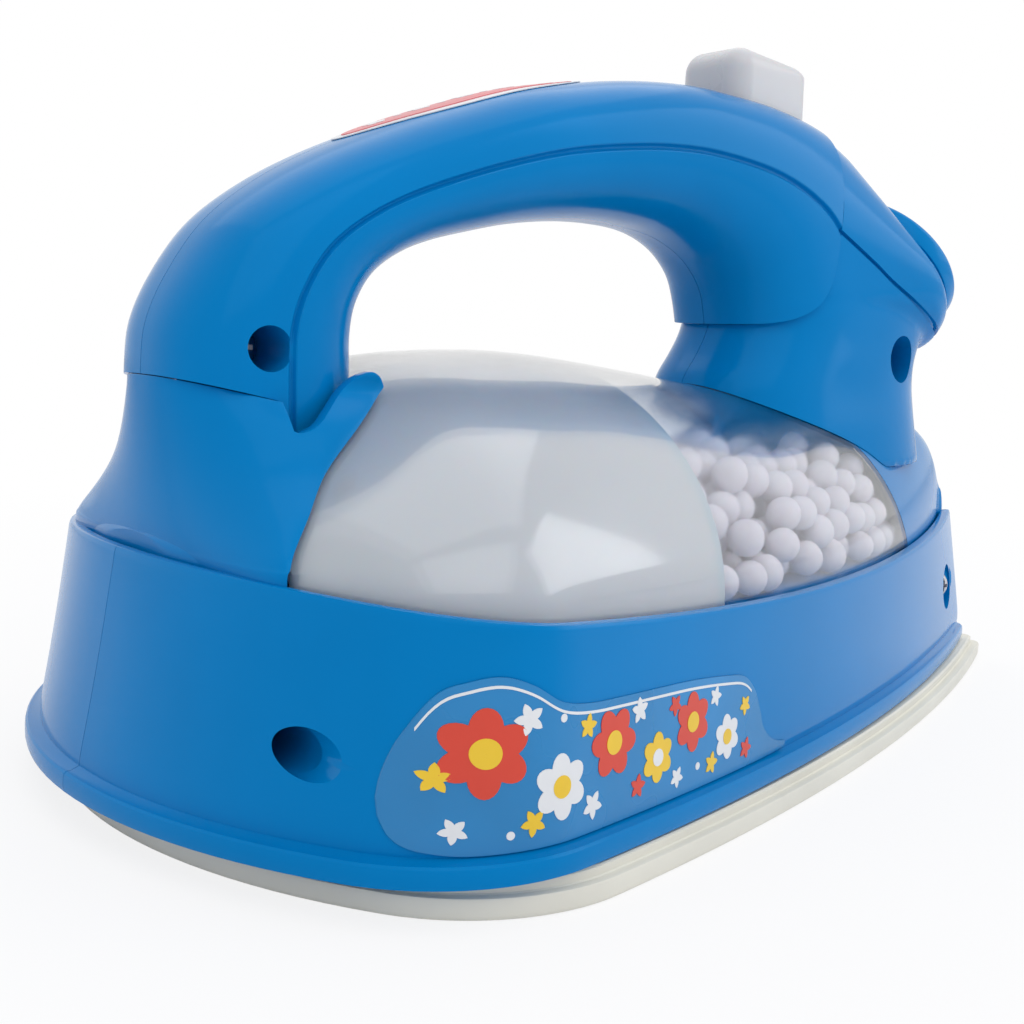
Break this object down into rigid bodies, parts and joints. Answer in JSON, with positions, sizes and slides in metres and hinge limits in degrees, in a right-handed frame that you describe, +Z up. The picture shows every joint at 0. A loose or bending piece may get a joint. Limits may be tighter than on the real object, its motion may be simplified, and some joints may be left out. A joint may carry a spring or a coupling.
{
  "type": "toy iron",
  "caption": "Toy clothes iron with an arched grip, a clear bead window over a hollow skirt, a turning dial, a sliding button and a flat sole plate.",
  "frame": {"origin": "on the floor under the middle of the sole plate's whole length, heel to nose", "axes": "+X to the nose, +Y to the iron's left side, +Z up"},
  "size_m": [0.1722, 0.096, 0.0968],
  "materials": {
    "blue_plastic": "high gloss, moulded",
    "cream_plastic": "satin, moulded",
    "clear_plastic": "clear, polished",
    "milky_plastic": "translucent, smooth",
    "white_plastic": "gloss, moulded",
    "foam": "fine foam cells",
    "black_plastic": "satin",
    "red_label": "printed film",
    "blue_label": "printed film",
    "cell_wrap": "shrink wrap",
    "board_green": "lacquered",
    "steel": "zinc plated"
  },
  "bodies": {
    "iron": {"sole_plate": "cream_plastic", "battery_door": "cream_plastic", "skirt_right": "blue_plastic", "skirt_left": "blue_plastic", "rear_hood": "blue_plastic", "grip_right": "blue_plastic", "grip_left": "blue_plastic", "front_post_right": "blue_plastic", "front_post_left": "blue_plastic", "nose_cap": "blue_plastic", "chamber_floor": "blue_plastic", "window_dome": "clear_plastic", "milky_liner": "milky_plastic", "foam_beads": "foam", "dial_bearing": "milky_plastic", "slide_switch": "black_plastic", "oval_label": "red_label", "side_label_right": "blue_label", "side_label_left": "blue_label", "battery_bay": "black_plastic", "battery_right": "cell_wrap", "battery_left": "cell_wrap", "battery_contacts": "steel", "door_screw": "steel", "circuit_board": "board_green", "sound_chips": "black_plastic", "lamp": "milky_plastic", "loudspeaker": "black_plastic", "motor": "steel", "grip_screws": "steel", "skirt_screws": "steel", "sole_screws": "steel"},
    "dial_knob": {"dial": "blue_plastic", "dial_screw": "steel"},
    "button": {"slide_button": "white_plastic"},
    "fan_wheel": {"fan": "white_plastic"}
  },
  "joints": [
    {"name": "dial_turn", "type": "hinge", "parent": "iron", "child": "dial_knob", "pos_m": [0.04735, 0, 0.0668], "axis": [0.7071, 0, 0.7071], "range_deg": [-135, 135]},
    {"name": "button_slide", "type": "slide", "parent": "iron", "child": "button", "axis": [-1, 0, 0], "range_m": [0, 0.006]},
    {"name": "fan_spin", "type": "hinge", "parent": "iron", "child": "fan_wheel", "pos_m": [0.0348, 0, 0.018], "axis": [0, 0, 1], "continuous": true}
  ]
}
